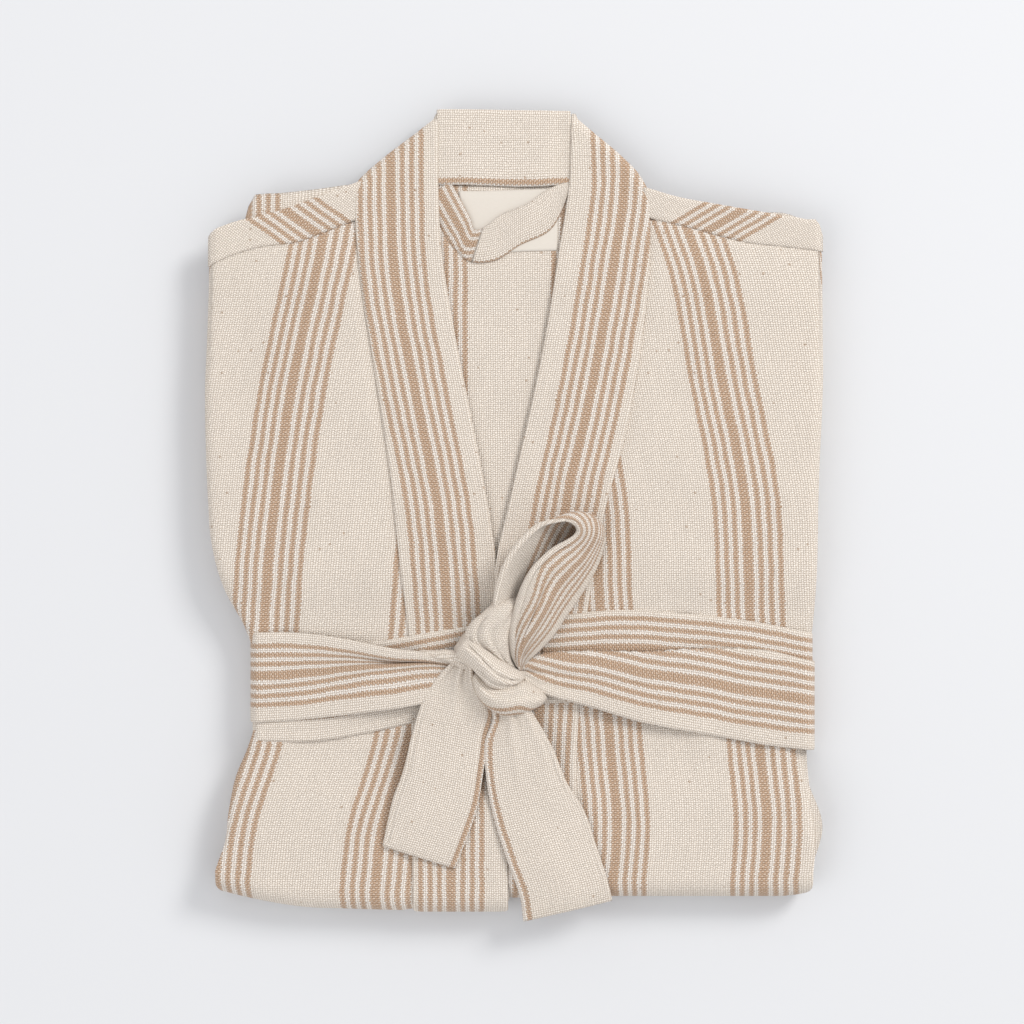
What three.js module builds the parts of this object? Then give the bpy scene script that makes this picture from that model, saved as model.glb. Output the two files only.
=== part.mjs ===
// A folded, sash-tied kimono bathrobe. Millimetres, +Z up, +Y towards the collar.
// The robe lies face up. Its sleeves are folded behind, and its lower half is folded up behind that,
// so every long cloth is a C in side view: an upper leg, a round bottom fold and a lower leg.
import * as THREE from 'three';

// ---- Driving dimensions ----
const SHOULDER_HALF_WIDTH = 234.5; // folded stack, at the shoulders
const BODY_HALF_WIDTH_LOW = 227; // folded stack, just above the bottom fold
const SHOULDER_Y = 212; // outer end of the shoulder fold
const COLLAR_TOP_Y = 309.7; // top of the back neckband
const NECK_SEAM_Y = 253; // where the back neckband is sewn on
const SEAM_DROP = 35; // the front shoulder seam falls this much from neck to sleeve
const SEAM_NECK_Y = 225.5; // neck end of the front shoulder seam
const BOTTOM_Y = -301.4; // bottom fold
const HEM_Y = 180; // hem of the lower half, folded up behind
const STACK = 34; // thickness of the folded stack away from the sash
const COLLAR_DROOP = 8; // the collar hangs this much lower than the chest

// Layers of the upper half, as heights in the unpressed stack. The lower half mirrors them.
const BAND_THICK = 4;
const FRONT_STEP = 1.4; // a band stands this much proud of the front it is sewn to
const BACK_THICK = 5.8;
const PLY_GAP = 0.7; // air between two layers
const CARRIER_THICK = 1.1;
const LABEL_THICK = 0.6;
const LOOP_THICK = 2.2;
const POCKET_THICK = 0.9;
const EDGE_GAP = 0.6; // between neighbours sewn edge to edge

// Neckbands and neck opening
const NECK_LEFT_X = -59;
const NECK_RIGHT_X = 40.7;
const BAND_SHOULDER_LEFT_X = -122;
const BAND_SHOULDER_RIGHT_X = 101;
const V_POINT_Y = -70; // where the two bands meet
const FRONT_EDGE_X = -3; // middle of the meeting front edges
const FRONT_EDGE_GAP = 3;
const BAND_LEFT_WIDTH = 73;
const BAND_RIGHT_WIDTH = 48;

// Sash
const SASH_WIDTH = 72;
const SASH_THICK = 1.8;
const SASH_GAP = 0.4;
const SASH_TOP_Y = -84; // the pressed zone runs down from here
const SASH_SPREAD = 24; // the two turns lie askew, so they press this much more than their width
const PRESS_RUN = 46; // length over which the stack swells back
const PRESSED_STACK = 22.6; // stack thickness under the sash
const SASH_LEFT_X = -198; // sides of the stack under the sash
const SASH_RIGHT_X = 224;
const SASH_CORNER = 5;
const KNOT_X = -13;
const KNOT_RISE = 22; // above the middle of the sash
const KNOT_HALF_X = 33;
const KNOT_HALF_Y = 38;
const KNOT_HEIGHT = 26;
const TAIL_THICK = 2.4;
const LOOP_LENGTH = 90;
const LOOP_ROUND = 14; // radius of the bow loop's round end
const BOW_WIDTH = 44;
const BOW_ROOT = 9;

// Sleeves, cuffs, pockets, carriers, label
const SLEEVE_INNER_X = 9;
const SLEEVE_TOP_Y = 200;
const SLEEVE_END_Y = -236;
const CUFF_LENGTH = 34;
const POCKET_WIDTH = 90;
const POCKET_BOTTOM_Y = -95;
const POCKET_TOP_Y = -262;
const POCKET_SIDE_INSET = 20;
const CARRIER_WIDTH = 12;
const CARRIER_LENGTH = 82;
const CARRIER_INSET = 52;
const LABEL_WIDTH = 72;
const LABEL_HEIGHT = 40;
const LABEL_TOP_Y = 242;

const CREAM = { color: 0xe6dbcb, roughness: 0.95, metalness: 0 };
const OAT = { color: 0xd9c7ae, roughness: 0.95, metalness: 0 };
const TAN = { color: 0xc8a985, roughness: 0.95, metalness: 0 };
const SATIN = { color: 0xf0e9dc, roughness: 0.5, metalness: 0 };

// ---- Heights ----
const FLOOR_LIFT = 2 * (SASH_THICK + SASH_GAP); // two sash turns pass under the stack
const BODY_TOP_AT_SASH = FLOOR_LIFT + PRESSED_STACK;
const SASH_TOP_Z = BODY_TOP_AT_SASH + 2 * (SASH_THICK + SASH_GAP);
const SASH_BOTTOM_Y = SASH_TOP_Y - SASH_WIDTH - SASH_SPREAD;
const SASH_MIDDLE_Y = (SASH_TOP_Y + SASH_BOTTOM_Y) / 2;
const KNOT_Y = SASH_MIDDLE_Y + KNOT_RISE;
const FOLD_RADIUS = STACK / 2;
const FOLD_Y = BOTTOM_Y + FOLD_RADIUS;
const DROOP_Y = SEAM_NECK_Y - SEAM_DROP - 6; // above this the shoulders and the collar droop

const LEVEL = (() => {
  const bandLow = STACK - BAND_THICK;
  const backHigh = bandLow - PLY_GAP;
  const backLow = backHigh - BACK_THICK;
  const carrierHigh = backLow - PLY_GAP / 2;
  const carrierLow = carrierHigh - CARRIER_THICK;
  return {
    band: [bandLow, STACK],
    front: [bandLow, STACK - FRONT_STEP],
    back: [backLow, backHigh],
    carrier: [carrierLow, carrierHigh],
    sleeve: [STACK - backLow + PLY_GAP, carrierLow - PLY_GAP],
    label: [backHigh + PLY_GAP / 2, backHigh + PLY_GAP / 2 + LABEL_THICK],
    loop: [backHigh + PLY_GAP + LABEL_THICK, backHigh + PLY_GAP + LABEL_THICK + LOOP_THICK],
    pocket: [0, POCKET_THICK],
  };
})();

// Straight-line interpolation through points [[y, value], ...] given from the top down.
function along(points) {
  return (y) => {
    if (y >= points[0][0]) return points[0][1];
    for (let i = 1; i < points.length; i += 1) {
      const [y0, v0] = points[i - 1];
      const [y1, v1] = points[i];
      if (y >= y1) return v0 + ((y - y0) / (y1 - y0)) * (v1 - v0);
    }
    return points[points.length - 1][1];
  };
}

const PRESS_YS = [SASH_TOP_Y + PRESS_RUN, SASH_TOP_Y, SASH_BOTTOM_Y, SASH_BOTTOM_Y - PRESS_RUN];
const stackFoot = along([[PRESS_YS[0], 0], [PRESS_YS[1], FLOOR_LIFT], [PRESS_YS[2], FLOOR_LIFT], [PRESS_YS[3], 0]]);
const stackTop = along([
  [COLLAR_TOP_Y, STACK - COLLAR_DROOP],
  [DROOP_Y, STACK],
  [PRESS_YS[0], STACK],
  [PRESS_YS[1], BODY_TOP_AT_SASH],
  [PRESS_YS[2], BODY_TOP_AT_SASH],
  [PRESS_YS[3], STACK],
]);

// Height of a layer level at y: the sash presses the stack, the collar droops.
function heightAt(level, y) {
  const foot = stackFoot(y);
  return foot + (level / STACK) * (stackTop(y) - foot);
}

// ---- Outlines, x against y ----
const leftSideX = along([
  [SHOULDER_Y, -SHOULDER_HALF_WIDTH],
  [12, -SHOULDER_HALF_WIDTH + 1],
  [PRESS_YS[0], -SHOULDER_HALF_WIDTH + 7],
  [PRESS_YS[1], SASH_LEFT_X],
  [PRESS_YS[2], SASH_LEFT_X],
  [PRESS_YS[3], -BODY_HALF_WIDTH_LOW + 8],
  [FOLD_Y, -BODY_HALF_WIDTH_LOW],
]);
const rightSideX = along([
  [SHOULDER_Y, SHOULDER_HALF_WIDTH],
  [12, SHOULDER_HALF_WIDTH - 3],
  [PRESS_YS[0], SHOULDER_HALF_WIDTH - 5],
  [PRESS_YS[1], SASH_RIGHT_X],
  [PRESS_YS[2], SASH_RIGHT_X],
  [PRESS_YS[3], BODY_HALF_WIDTH_LOW],
  [FOLD_Y, BODY_HALF_WIDTH_LOW],
]);
const leftEdgeX = FRONT_EDGE_X - FRONT_EDGE_GAP / 2;
const rightEdgeX = FRONT_EDGE_X + FRONT_EDGE_GAP / 2;
const BAND_YS = [COLLAR_TOP_Y - 6, 271, NECK_SEAM_Y, SEAM_NECK_Y, DROOP_Y, 130, 55, V_POINT_Y];
const leftBandInner = along([
  [NECK_SEAM_Y, NECK_LEFT_X],
  [DROOP_Y, NECK_LEFT_X + 4],
  [130, NECK_LEFT_X + 14],
  [55, NECK_LEFT_X + 28],
  [V_POINT_Y, leftEdgeX],
]);
const leftBandOuter = along([
  [COLLAR_TOP_Y - 6, NECK_LEFT_X - 5],
  [271, BAND_SHOULDER_LEFT_X + 22],
  [NECK_SEAM_Y, BAND_SHOULDER_LEFT_X],
  [DROOP_Y, BAND_SHOULDER_LEFT_X + 3],
  [55, BAND_SHOULDER_LEFT_X + 24],
  [V_POINT_Y, leftEdgeX - BAND_LEFT_WIDTH],
]);
const rightBandInner = along([
  [NECK_SEAM_Y, NECK_RIGHT_X],
  [DROOP_Y, NECK_RIGHT_X - 8],
  [130, NECK_RIGHT_X - 17],
  [55, NECK_RIGHT_X - 32],
  [V_POINT_Y, rightEdgeX],
]);
const rightBandOuter = along([
  [COLLAR_TOP_Y - 6, NECK_RIGHT_X + 5],
  [271, BAND_SHOULDER_RIGHT_X - 14],
  [NECK_SEAM_Y, BAND_SHOULDER_RIGHT_X],
  [DROOP_Y, BAND_SHOULDER_RIGHT_X + 1],
  [55, BAND_SHOULDER_RIGHT_X - 22],
  [V_POINT_Y, rightEdgeX + BAND_RIGHT_WIDTH + 8],
  [SASH_BOTTOM_Y, rightEdgeX + BAND_RIGHT_WIDTH],
]);

// ---- Shape helpers ----
// A cloth slab swept through stations. Each station holds four points: the a edge and the b edge,
// each with an inner and an outer face. It starts as a box with one slice per station.
function slab(stations) {
  const last = stations.length - 1;
  const geometry = new THREE.BoxGeometry(1, 1, 1, 1, last, 1);
  const position = geometry.attributes.position;
  for (let i = 0; i < position.count; i += 1) {
    const station = stations[Math.round((0.5 - position.getY(i)) * last)];
    const edge = position.getX(i) < 0 ? station.a : station.b;
    const point = position.getZ(i) < 0 ? edge.inner : edge.outer;
    position.setXYZ(i, point[0], point[1], point[2]);
  }
  geometry.computeVertexNormals();
  return geometry;
}

// A station on the upper half: from (ax, ay) to (bx, by), between two levels of the stack.
function flat(ax, ay, bx, by, [low, high]) {
  const edge = (x, y) => ({ inner: [x, y, heightAt(low, y)], outer: [x, y, heightAt(high, y)] });
  return { a: edge(ax, ay), b: edge(bx, by) };
}

// A station on the lower half, where the outer face looks down.
function flatBelow(ax, bx, y, [low, high]) {
  const edge = (x) => ({
    inner: [x, y, heightAt(STACK - low, y)],
    outer: [x, y, heightAt(STACK - high, y)],
  });
  return { a: edge(ax), b: edge(bx) };
}

// A station in the bottom fold, at an angle from the upper leg round to the lower leg.
function folded(ax, bx, angle, [low, high]) {
  const edge = (x) => {
    const at = (level) => {
      const radius = level - FOLD_RADIUS;
      return [x, FOLD_Y - radius * Math.sin(angle), FOLD_RADIUS + radius * Math.cos(angle)];
    };
    return { inner: at(low), outer: at(high) };
  };
  return { a: edge(ax), b: edge(bx) };
}

// The heights where a leg needs a station: its ends, the press and droop lines and its outline's bends.
function rows(top, bottom, bends = []) {
  const inside = [...PRESS_YS, DROOP_Y, ...bends].filter((y) => y < top - 1 && y > bottom + 1);
  return [top, ...[...new Set(inside)].sort((p, q) => q - p), bottom];
}

// A long cloth that goes down the front, round the bottom fold and up behind to the hem.
function foldedCloth({ top, left, right, leftBelow = left, rightBelow = right, level, bends, start = [] }) {
  const stations = [...start];
  for (const y of rows(top, FOLD_Y, bends)) stations.push(flat(left(y), y, right(y), y, level));
  const turns = 8;
  for (let i = 1; i < turns; i += 1) {
    stations.push(folded(left(FOLD_Y), right(FOLD_Y), (i * Math.PI) / turns, level));
  }
  for (const y of rows(HEM_Y, FOLD_Y, bends).reverse()) {
    stations.push(flatBelow(leftBelow(y), rightBelow(y), y, level));
  }
  return slab(stations);
}

// Past the V the front edges run straight down, so the lower leg reads an outline no higher than the V.
function straightBelow(edge) {
  return (y) => edge(Math.min(y, V_POINT_Y));
}

const robe = new THREE.Group();

function add(name, geometry, look, parent = robe) {
  const mesh = new THREE.Mesh(geometry, new THREE.MeshStandardMaterial(look));
  mesh.name = name;
  parent.add(mesh);
  return mesh;
}

// ---- Fronts, back and yokes ----
const FRONT_INSET = 4; // outer layers roll in at the sides
const BACK_INSET = 2;
const seamY = (share) => SEAM_NECK_Y - SEAM_DROP * share;
const SIDE_BENDS = [12, ...BAND_YS];

function frontPanel(sideX, bandX, side) {
  const outer = (y) => sideX(y) - side * FRONT_INSET;
  const inner = (y) => bandX(y) + side * EDGE_GAP;
  const innerBelow = straightBelow(inner);
  const [left, right] = side < 0 ? [outer, inner] : [inner, outer];
  const [leftBelow, rightBelow] = side < 0 ? [outer, innerBelow] : [innerBelow, outer];
  const leftSeam = side < 0 ? seamY(1) : seamY(0);
  const rightSeam = side < 0 ? seamY(0) : seamY(1);
  const start = [flat(left(leftSeam), leftSeam, right(rightSeam), rightSeam, LEVEL.front)];
  const bends = SIDE_BENDS.filter((y) => y < DROOP_Y);
  return foldedCloth({ top: DROOP_Y, left, right, leftBelow, rightBelow, level: LEVEL.front, bends, start });
}

add('left_front_panel', frontPanel(leftSideX, leftBandOuter, -1), OAT);
add('right_front_panel', frontPanel(rightSideX, rightBandOuter, 1), OAT);

function backPanel() {
  const left = along([
    [NECK_SEAM_Y, BAND_SHOULDER_LEFT_X],
    [SHOULDER_Y, leftSideX(SHOULDER_Y) + BACK_INSET],
  ]);
  const right = along([
    [NECK_SEAM_Y, BAND_SHOULDER_RIGHT_X],
    [SHOULDER_Y, rightSideX(SHOULDER_Y) - BACK_INSET],
  ]);
  return foldedCloth({
    top: NECK_SEAM_Y - 2,
    left: (y) => (y > SHOULDER_Y ? left(y) : leftSideX(y) + BACK_INSET),
    right: (y) => (y > SHOULDER_Y ? right(y) : rightSideX(y) - BACK_INSET),
    level: LEVEL.back,
    bends: [SHOULDER_Y, 12],
  });
}
add('back_panel', backPanel(), CREAM);

// A yoke lies between the front seam and the shoulder fold. Its stations step across the robe.
function yoke(side) {
  const neckX = (side < 0 ? BAND_SHOULDER_LEFT_X : BAND_SHOULDER_RIGHT_X) + side * (EDGE_GAP + 3);
  const sleeveX = side * (SHOULDER_HALF_WIDTH - FRONT_INSET);
  const edge = [[0, NECK_SEAM_Y], [0.6, NECK_SEAM_Y - 9], [1, SHOULDER_Y + 2]];
  const stations = edge.map(([share, top]) => {
    const x = neckX + (sleeveX - neckX) * share;
    return flat(x, seamY(share) + 2 * EDGE_GAP, x, top, LEVEL.front);
  });
  return slab(side < 0 ? stations.reverse() : stations);
}
add('left_yoke', yoke(-1), TAN);
add('right_yoke', yoke(1), TAN);

// ---- Neckbands ----
function sideBand(left, right) {
  return foldedCloth({
    top: COLLAR_TOP_Y - 6,
    left,
    right,
    leftBelow: straightBelow(left),
    rightBelow: straightBelow(right),
    level: LEVEL.band,
    bends: BAND_YS,
  });
}
add('left_neckband', sideBand(leftBandOuter, leftBandInner), TAN);
add('right_neckband', sideBand(rightBandInner, rightBandOuter), TAN);

function backNeckband() {
  const left = NECK_LEFT_X + EDGE_GAP;
  const right = NECK_RIGHT_X - EDGE_GAP;
  return slab([COLLAR_TOP_Y, NECK_SEAM_Y].map((y) => flat(left, y, right, y, LEVEL.band)));
}
add('back_neckband', backNeckband(), CREAM);

// ---- Sleeves and cuffs, folded down between the two halves ----
function sleeveSlab(side, top, bottom) {
  const stations = rows(top, bottom, [12]).map((y) => {
    const edges = side < 0 ? [leftSideX(y), -SLEEVE_INNER_X] : [SLEEVE_INNER_X, rightSideX(y)];
    return flat(edges[0], y, edges[1], y, LEVEL.sleeve);
  });
  return slab(stations);
}
add('left_sleeve', sleeveSlab(-1, SLEEVE_TOP_Y, SLEEVE_END_Y), OAT);
add('right_sleeve', sleeveSlab(1, SLEEVE_TOP_Y, SLEEVE_END_Y), OAT);
add('left_cuff', sleeveSlab(-1, SLEEVE_END_Y - EDGE_GAP, SLEEVE_END_Y - EDGE_GAP - CUFF_LENGTH), CREAM);
add('right_cuff', sleeveSlab(1, SLEEVE_END_Y - EDGE_GAP, SLEEVE_END_Y - EDGE_GAP - CUFF_LENGTH), CREAM);

// ---- Pockets, on the outside of the lower fronts ----
function pocket(side) {
  const sideX = side < 0 ? SASH_LEFT_X : SASH_RIGHT_X;
  const outer = sideX - side * POCKET_SIDE_INSET;
  const inner = outer - side * POCKET_WIDTH;
  const [left, right] = side < 0 ? [outer, inner] : [inner, outer];
  return slab(rows(POCKET_BOTTOM_Y, POCKET_TOP_Y).map((y) => flat(left, y, right, y, LEVEL.pocket)));
}
add('left_pocket', pocket(-1), OAT);
add('right_pocket', pocket(1), OAT);

// ---- Belt carriers, at the side seams ----
function carrier(side) {
  const x = (side < 0 ? SASH_LEFT_X : SASH_RIGHT_X) - side * CARRIER_INSET;
  const middle = (SASH_TOP_Y + SASH_BOTTOM_Y) / 2;
  const half = CARRIER_WIDTH / 2;
  const ends = [middle + CARRIER_LENGTH / 2, middle - CARRIER_LENGTH / 2];
  return slab(ends.map((y) => flat(x - half, y, x + half, y, LEVEL.carrier)));
}
add('left_belt_carrier', carrier(-1), OAT);
add('right_belt_carrier', carrier(1), OAT);

// ---- Neck label ----
function neckLabel() {
  const right = NECK_RIGHT_X - 9;
  const ends = [LABEL_TOP_Y, LABEL_TOP_Y - LABEL_HEIGHT];
  const rowsOfLabel = [ends[0], ...(ends[1] < DROOP_Y ? [DROOP_Y] : []), ends[1]];
  return slab(rowsOfLabel.map((y) => flat(right - LABEL_WIDTH, y, right, y, LEVEL.label)));
}
add('neck_label', neckLabel(), SATIN);

// ---- Hanging loop: a strap in a V, stitched along the neck seam ----
function hangingLoop() {
  const seam = NECK_SEAM_Y - EDGE_GAP;
  const left = NECK_LEFT_X + 3;
  const right = NECK_RIGHT_X - 4;
  const outline = new THREE.Shape();
  outline.moveTo(left, seam);
  outline.lineTo(left + 0.5, seam - 46);
  outline.lineTo(left + 15, seam - 55);
  outline.lineTo(left + 42, seam - 58);
  outline.lineTo(right - 38, seam - 46);
  outline.lineTo(right - 11, seam - 34);
  outline.lineTo(right - 5, seam - 20);
  outline.lineTo(right, seam);
  const gap = new THREE.Path();
  gap.moveTo(left + 11, seam - 3);
  gap.lineTo(right - 14, seam - 3);
  gap.lineTo(right - 35, seam - 14);
  gap.lineTo(left + 26, seam - 35);
  outline.holes.push(gap);
  const geometry = new THREE.ExtrudeGeometry(outline, { depth: 1, bevelEnabled: false });
  const position = geometry.attributes.position;
  for (let i = 0; i < position.count; i += 1) {
    const level = LEVEL.loop[Math.round(position.getZ(i))];
    position.setZ(i, heightAt(level, position.getY(i)));
  }
  geometry.computeVertexNormals();
  return geometry;
}
add('hanging_loop', hangingLoop(), TAN);

// ---- Sash ----
function roundedRectangle(path, left, right, low, high, radius) {
  path.moveTo(left + radius, low);
  path.lineTo(right - radius, low);
  path.absarc(right - radius, low + radius, radius, -Math.PI / 2, 0);
  path.lineTo(right, high - radius);
  path.absarc(right - radius, high - radius, radius, 0, Math.PI / 2);
  path.lineTo(left + radius, high);
  path.absarc(left + radius, high - radius, radius, Math.PI / 2, Math.PI);
  path.lineTo(left, low + radius);
  path.absarc(left + radius, low + radius, radius, Math.PI, 1.5 * Math.PI);
}

// One turn of the sash round the stack. It climbs or falls a little from left to right.
function sashTurn(turn, leftMiddleY, rightMiddleY) {
  const inset = SASH_GAP + turn * (SASH_THICK + SASH_GAP);
  const outset = inset + SASH_THICK;
  const ring = new THREE.Shape();
  const hole = new THREE.Path();
  const box = (path, grow) => roundedRectangle(
    path,
    SASH_LEFT_X - grow,
    SASH_RIGHT_X + grow,
    FLOOR_LIFT - grow,
    BODY_TOP_AT_SASH + grow,
    SASH_CORNER + grow,
  );
  box(ring, outset);
  box(hole, inset);
  ring.holes.push(hole);
  const geometry = new THREE.ExtrudeGeometry(ring, { depth: SASH_WIDTH, bevelEnabled: false, curveSegments: 4 });
  const position = geometry.attributes.position;
  for (let i = 0; i < position.count; i += 1) {
    const x = position.getX(i);
    const share = (x - SASH_LEFT_X) / (SASH_RIGHT_X - SASH_LEFT_X);
    const middle = leftMiddleY + (rightMiddleY - leftMiddleY) * share;
    const z = position.getY(i);
    position.setXYZ(i, x, middle + SASH_WIDTH / 2 - position.getZ(i), z);
  }
  geometry.computeVertexNormals();
  return geometry;
}
add('sash_inner_wrap', sashTurn(0, SASH_MIDDLE_Y - 4, SASH_MIDDLE_Y + 8), TAN);
add('sash_outer_wrap', sashTurn(1, SASH_MIDDLE_Y + 7.5, SASH_MIDDLE_Y - 9), TAN);

const KNOT_LOW_Z = SASH_TOP_Z + SASH_GAP;

function knot() {
  const bevel = KNOT_HEIGHT * 0.3;
  const shape = new THREE.Shape();
  shape.absellipse(0, 0, KNOT_HALF_X - bevel, KNOT_HALF_Y - bevel, 0, 2 * Math.PI);
  const options = {
    depth: KNOT_HEIGHT - 2 * bevel,
    bevelThickness: bevel,
    bevelSize: bevel,
    bevelSegments: 3,
    curveSegments: 14,
  };
  const geometry = new THREE.ExtrudeGeometry(shape, options);
  geometry.translate(KNOT_X, KNOT_Y, KNOT_LOW_Z + bevel);
  return geometry;
}
add('sash_knot', knot(), CREAM);

// The bow loop: a teardrop in side view, swept along the width of the sash.
const BOW_ANGLE = 61.5; // degrees from +X to the loop's own length
const BOW_SIDE = 23; // the loop's root lies this far right of the knot's middle
const BOW_TUCK = 6; // and this far inside the knot's upper edge
const BOW_START = new THREE.Vector3(KNOT_X + BOW_SIDE, KNOT_Y + KNOT_HALF_Y - BOW_TUCK, STACK + 1.6);

function bowLoop() {
  const wall = TAIL_THICK;
  const far = LOOP_LENGTH - LOOP_ROUND;
  const rootHeight = LOOP_ROUND;
  const outline = new THREE.Shape();
  outline.moveTo(0, 0);
  outline.lineTo(far, 0);
  outline.absarc(far, LOOP_ROUND, LOOP_ROUND, -Math.PI / 2, Math.PI / 2);
  outline.lineTo(0, rootHeight);
  const hole = new THREE.Path();
  hole.moveTo(BOW_ROOT, wall);
  hole.lineTo(far, wall);
  hole.absarc(far, LOOP_ROUND, LOOP_ROUND - wall, -Math.PI / 2, Math.PI / 2);
  hole.lineTo(BOW_ROOT, rootHeight - wall);
  outline.holes.push(hole);
  const geometry = new THREE.ExtrudeGeometry(outline, { depth: BOW_WIDTH, bevelEnabled: false, curveSegments: 8 });
  geometry.translate(0, 0, -BOW_WIDTH / 2);
  geometry.rotateX(Math.PI / 2);
  return geometry;
}
const bow = add('sash_bow_loop', bowLoop(), TAN);
bow.position.copy(BOW_START);
bow.rotation.z = THREE.MathUtils.degToRad(BOW_ANGLE);

// A tail is one ply that runs from the knot over the sash and down the robe.
function tail(edges) {
  const lies = along([
    [SASH_MIDDLE_Y, KNOT_LOW_Z],
    [PRESS_YS[2], KNOT_LOW_Z],
    [PRESS_YS[3], STACK + PLY_GAP],
    [FOLD_Y, STACK + PLY_GAP],
    [-COLLAR_TOP_Y, STACK - 5],
  ]);
  const edge = (x, y) => ({ inner: [x, y, lies(y)], outer: [x, y, lies(y) + TAIL_THICK] });
  return slab(edges.map(([ax, ay, bx, by]) => ({ a: edge(ax, ay), b: edge(bx, by) })));
}
const TAIL_ROOT_Y = KNOT_Y - KNOT_HALF_Y - 3;
add('sash_left_tail', tail([
  [-62, TAIL_ROOT_Y, -25, TAIL_ROOT_Y],
  [-80, PRESS_YS[2], -27, PRESS_YS[2]],
  [-95, PRESS_YS[3], -29, PRESS_YS[3]],
  [-101.5, -251, -47, -268],
]), CREAM);
add('sash_right_tail', tail([
  [-15, TAIL_ROOT_Y, 12, TAIL_ROOT_Y],
  [-21.5, PRESS_YS[2], 30, PRESS_YS[2]],
  [-17, PRESS_YS[3], 52, PRESS_YS[3]],
  [2, FOLD_Y, 71, FOLD_Y],
  [6.5, -COLLAR_TOP_Y, 74, -294],
]), CREAM);

// The origin lies under the middle of the whole.
const whole = new THREE.Box3().setFromObject(robe);
const middle = whole.getCenter(new THREE.Vector3());
robe.position.set(-middle.x, -middle.y, -whole.min.z);

const model = new THREE.Group();
model.add(robe);

export default model;
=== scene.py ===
# %% [markdown]
# # A folded bathrobe, tied with its own sash
# The robe lies face up on a pale table. Its sleeves and sides are folded behind, the lower half is
# folded up behind that, and the sash goes twice round the stack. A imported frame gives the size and
# place of every piece and the bodies that move. Blender's cloth simulation could drape all of this,
# but pressed, folded cloth keeps its creases, and its seams and stripes have to lie where they are
# sewn. So each piece is a grid of points laid along its own fold path by formula, which also repeats
# exactly.

# %% Load the frame
import math

import bpy
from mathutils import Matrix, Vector
import numpy as np


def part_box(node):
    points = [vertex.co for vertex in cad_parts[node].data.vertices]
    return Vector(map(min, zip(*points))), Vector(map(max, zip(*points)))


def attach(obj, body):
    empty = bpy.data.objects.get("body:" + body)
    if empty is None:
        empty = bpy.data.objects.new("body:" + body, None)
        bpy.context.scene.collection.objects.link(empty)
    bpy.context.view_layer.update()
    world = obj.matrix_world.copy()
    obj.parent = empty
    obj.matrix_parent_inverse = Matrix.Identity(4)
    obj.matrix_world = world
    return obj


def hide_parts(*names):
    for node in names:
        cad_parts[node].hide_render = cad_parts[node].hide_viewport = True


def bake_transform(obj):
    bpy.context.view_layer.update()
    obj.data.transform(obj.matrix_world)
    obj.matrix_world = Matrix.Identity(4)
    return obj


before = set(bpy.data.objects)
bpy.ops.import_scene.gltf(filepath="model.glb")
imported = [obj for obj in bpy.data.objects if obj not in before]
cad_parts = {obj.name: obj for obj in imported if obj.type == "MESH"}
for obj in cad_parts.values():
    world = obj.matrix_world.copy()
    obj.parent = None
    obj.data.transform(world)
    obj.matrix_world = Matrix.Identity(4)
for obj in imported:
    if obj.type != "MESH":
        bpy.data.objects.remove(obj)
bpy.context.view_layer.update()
MM = 0.001

# %% [markdown]
# ## Sizes that the frame settles
# The stack's thickness, the bottom fold, the collar and the sash's two ends are read from the frame's
# boxes. All working lengths below are in millimetres, because cloth is cut in millimetres.

# %% Read the driving sizes


def corner_mm(node):
    low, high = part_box(node)
    return np.array(low) / MM, np.array(high) / MM


band_low, band_high = corner_mm("left_neckband")
wrap_low, wrap_high = corner_mm("sash_outer_wrap")
neck_low, neck_high = corner_mm("back_neckband")
collar_top = neck_high[1]
neck_seam = neck_low[1]
stack = band_high[2]
half_stack = stack / 2
fold_y = band_low[1] + half_stack
sash_left, sash_right = wrap_low[0], wrap_high[0]
print("stack", round(stack, 1), "fold at", round(fold_y, 1))
print("sash from", round(sash_left, 1), "to", round(sash_right, 1))

# %% [markdown]
# ## Camera
# The robe is seen from straight above, so the camera hangs over it and looks down. A long lens far
# away keeps the sides of the stack from showing, as they don't for someone who looks down from a
# ladder.

# %% Hang the camera
view_width = 0.778
lens, sensor = 85.0, 36.0
camera_data = bpy.data.cameras.new("camera")
camera_data.lens = lens
camera_data.sensor_width = sensor
camera = bpy.data.objects.new("camera", camera_data)
bpy.context.scene.collection.objects.link(camera)
camera_height = view_width * lens / sensor + stack * MM
camera.location = (-0.0027, 0.0027, camera_height)
bpy.context.scene.camera = camera
print("camera height", round(camera_height, 3))

# %% [markdown]
# ## Lines, ripples and easing
# Outlines are a few given points joined by smooth curves. Cloth is never quite flat, so soft
# seeded noise gives it swells and gathers.

# %% Curve helpers


def ease(t):
    t = np.clip(t, 0, 1)
    return t * t * (3 - 2 * t)


def hermite(knots, values, at):
    """A smooth curve through values at the knots, read at any place between the first and the last."""
    slopes = np.gradient(values, knots, axis=0)
    at = np.clip(at, knots[0], knots[-1])
    i = np.clip(np.searchsorted(knots, at, side="right") - 1, 0, len(knots) - 2)
    width = knots[i + 1] - knots[i]
    s = (at - knots[i]) / width
    if values.ndim > 1:
        s, width = s[..., None], width[..., None]
    start = (2 * s**3 - 3 * s**2 + 1) * values[i] + (s**3 - 2 * s**2 + s) * width * slopes[i]
    return start + (3 * s**2 - 2 * s**3) * values[i + 1] + (s**3 - s**2) * width * slopes[i + 1]


def outline(*points):
    """x as a smooth function of y, or y of x, through given (key, value) points."""
    table = np.array(sorted(points), float)
    return lambda key: hermite(table[:, 0], table[:, 1], np.asarray(key, float))


def route(points, count):
    """Points evenly spread along a smooth curve through given points."""
    points = np.array(points, float)
    run = np.r_[0, np.cumsum(np.linalg.norm(np.diff(points, axis=0), axis=1))]
    return hermite(run, points, np.linspace(0, run[-1], count))


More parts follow.
